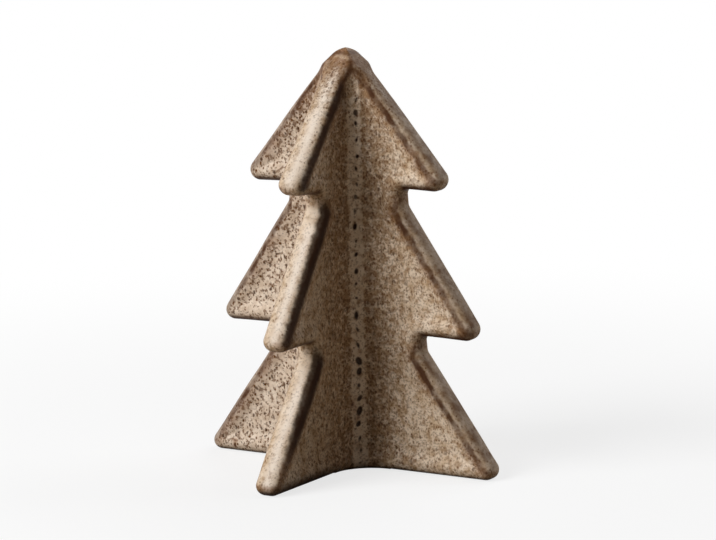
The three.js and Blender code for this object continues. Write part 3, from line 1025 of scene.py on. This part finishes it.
def glaze_material(name):
    """The whole glaze, with its layers in the order in which they cover each other."""
    glaze = Glaze(name)
    spot, ring = glaze.blotches()
    soft, line = glaze.crest_line()
    layers = [
        *glaze.washes(),
        (ring, 0.55, RUST),
        # The soft band along the rims, partly painted shade
        (soft, 1, STIPPLE),
        *glaze.speckling(),
        (spot, 1, CREST),
        (line, 1, CREST),
        *glaze.breaks(),
        *glaze.hollows(),
    ]
    colour = glaze.mix(glaze.patches(*CLOUDS), CREAM, SAND)
    for share, strength, tone in layers:
        colour = glaze.mix(share if strength == 1 else glaze.times(share, strength), colour, tone)

    relief = glaze.scaled(spot, SPOT_RELIEF, glaze.noise(*PEEL))
    inputs = {"Strength": RELIEF_STRENGTH, "Distance": RELIEF_DEPTH, "Height": relief}
    shader = glaze.node("ShaderNodeBsdfPrincipled", inputs={
        "Base Color": colour,
        "Roughness": glaze.patches(*SATIN),
        "Specular IOR Level": GLOSS,
        "Normal": glaze.node("ShaderNodeBump", inputs=inputs).outputs["Normal"],
    })
    glaze.node("ShaderNodeOutputMaterial", inputs={"Surface": shader.outputs[0]})
    return glaze.owner


def settle_in(piece, node, material):
    """Gives a piece its glaze, and has it stand for its CAD node."""
    piece.data.materials.clear()
    piece.data.materials.append(material)
    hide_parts(node)
    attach(piece, "root")


def dress():
    """Makes every piece, each standing for its own CAD node."""
    wing_glaze, seam_glaze = glaze_material("wing_glaze"), glaze_material("seam_glaze")
    wing = wing_shape()
    for quarter, side in enumerate(("right", "back", "left", "front")):
        piece = finish_piece(f"glazed_wing_{side}", wing.copy(), tree_field, quarter * math.pi / 2)
        settle_in(piece, f"wing_{side}", wing_glaze)
    for quarter, valley in enumerate(("right_back", "back_left", "left_front", "front_right")):
        angle = math.pi / 4 + quarter * math.pi / 2
        pits = PitRow(quarter)
        field = seam_field(pits, angle)
        piece = finish_piece(f"glazed_bead_{valley}", bead_shape(pits), field, angle, pits)
        settle_in(piece, f"seam_bead_{valley}", seam_glaze)


def aimed(bearing, height, distance, roll=0.0):
    """Place of a camera or lamp that looks at the tree. Bearing is from the front towards the right."""
    turn = Matrix.Rotation(bearing, 4, "Z")
    tilt = Matrix.Rotation(math.pi / 2 - height, 4, "X")
    rolled = Matrix.Rotation(roll, 4, "Z")
    back = Matrix.Translation((0, 0, distance))
    return Matrix.Translation((0, 0, AIM_HEIGHT)) @ turn @ tilt @ rolled @ back


def add_camera():
    """The camera of the photograph."""
    camera = placed("camera", bpy.data.cameras.new("camera"))
    camera.data.sensor_width = SENSOR_WIDTH
    camera.data.lens = FOCAL_PIXELS * SENSOR_WIDTH / PHOTO_WIDTH
    camera.data.shift_x = AIM_OFFSET_X / PHOTO_WIDTH
    camera.data.shift_y = AIM_OFFSET_Y / PHOTO_WIDTH
    camera.matrix_world = aimed(CAMERA_BEARING, CAMERA_HEIGHT, CAMERA_DISTANCE, CAMERA_ROLL)
    bpy.context.scene.camera = camera


# The floor is a disc of this radius, in metres
FLOOR_RADIUS, FLOOR_SIDES = 4.0, 64

# How far from the tree the floor turns white, as seen and as mirrored. Nearer, it keeps the tree's shadow
SHADOW_SPAN, MIRRORED_SHADOW_SPAN = (0.10, 0.42, 0.75, 1.0), (0.05, 0.25)

# The floor's tone where it is seen and where it only throws back light, and white
SEEN_TONE, THROWN_TONE = linear(245, 245, 245), linear(134, 120, 100)
WHITE = (1, 1, 1, 1)

# Strength of the even light that comes from all around
SKY_LIGHT = 0.04

# Lamps: name, bearing and height in degrees, distance and size in metres, and power in watts
LAMPS = (
    ("key", -30, 32, 1.3, 0.8, 17),
    ("back", -168, 35, 1.6, 0.8, 6),
    ("rim", 145, 40, 1.6, 0.8, 6.5),
    ("fill", 62, 20, 1.6, 0.9, 0.35),
)


def add_floor():
    """A plain pale floor that keeps the tree's shadow and turns white away from it."""
    made = bmesh.new()
    bmesh.ops.create_circle(made, cap_ends=True, radius=FLOOR_RADIUS, segments=FLOOR_SIDES)
    floor = built("floor", made)
    paper = Nodes(bpy.data.materials.new("floor_paper"))
    by_camera, mirrored = paper.rays()
    away = paper.vector("LENGTH", paper.place()).outputs["Value"]
    white = paper.math(
        "MAXIMUM",
        paper.times(by_camera, paper.step(away, *SHADOW_SPAN)),
        paper.times(mirrored, paper.step(away, *MIRRORED_SHADOW_SPAN)),
    )
    tone = paper.mix(paper.math("MAXIMUM", by_camera, mirrored), THROWN_TONE, SEEN_TONE)
    diffuse = paper.node("ShaderNodeBsdfDiffuse", inputs={"Color": tone})
    glow = paper.node("ShaderNodeEmission", inputs={"Color": WHITE, "Strength": 1.0})
    shares = {0: white, 1: diffuse.outputs[0], 2: glow.outputs[0]}
    mixed = paper.node("ShaderNodeMixShader", inputs=shares)
    paper.node("ShaderNodeOutputMaterial", inputs={"Surface": mixed.outputs[0]})
    floor.data.materials.append(paper.owner)


def add_world():
    """White behind everything, and a weak even light."""
    sky = Nodes(bpy.data.worlds.new("studio"))
    inputs = {"Value": sky.math("MAXIMUM", *sky.rays()), "To Min": SKY_LIGHT, "To Max": 1.0}
    strength = sky.node("ShaderNodeMapRange", inputs=inputs).outputs[0]
    light = sky.node("ShaderNodeBackground", inputs={"Color": WHITE, "Strength": strength})
    sky.node("ShaderNodeOutputWorld", inputs={"Surface": light.outputs[0]})
    bpy.context.scene.world = sky.owner


def add_lamp(name, bearing, height, distance, size, power):
    """A square soft lamp aimed at the tree."""
    light = bpy.data.lights.new(name, "AREA")
    light.shape = "SQUARE"
    light.size = size
    light.energy = power
    placed(name, light).matrix_world = aimed(math.radians(bearing), math.radians(height), distance)


add_camera()
add_floor()
add_world()
for lamp in LAMPS:
    add_lamp(*lamp)
dress()
bpy.context.scene.view_settings.view_transform = "Standard"
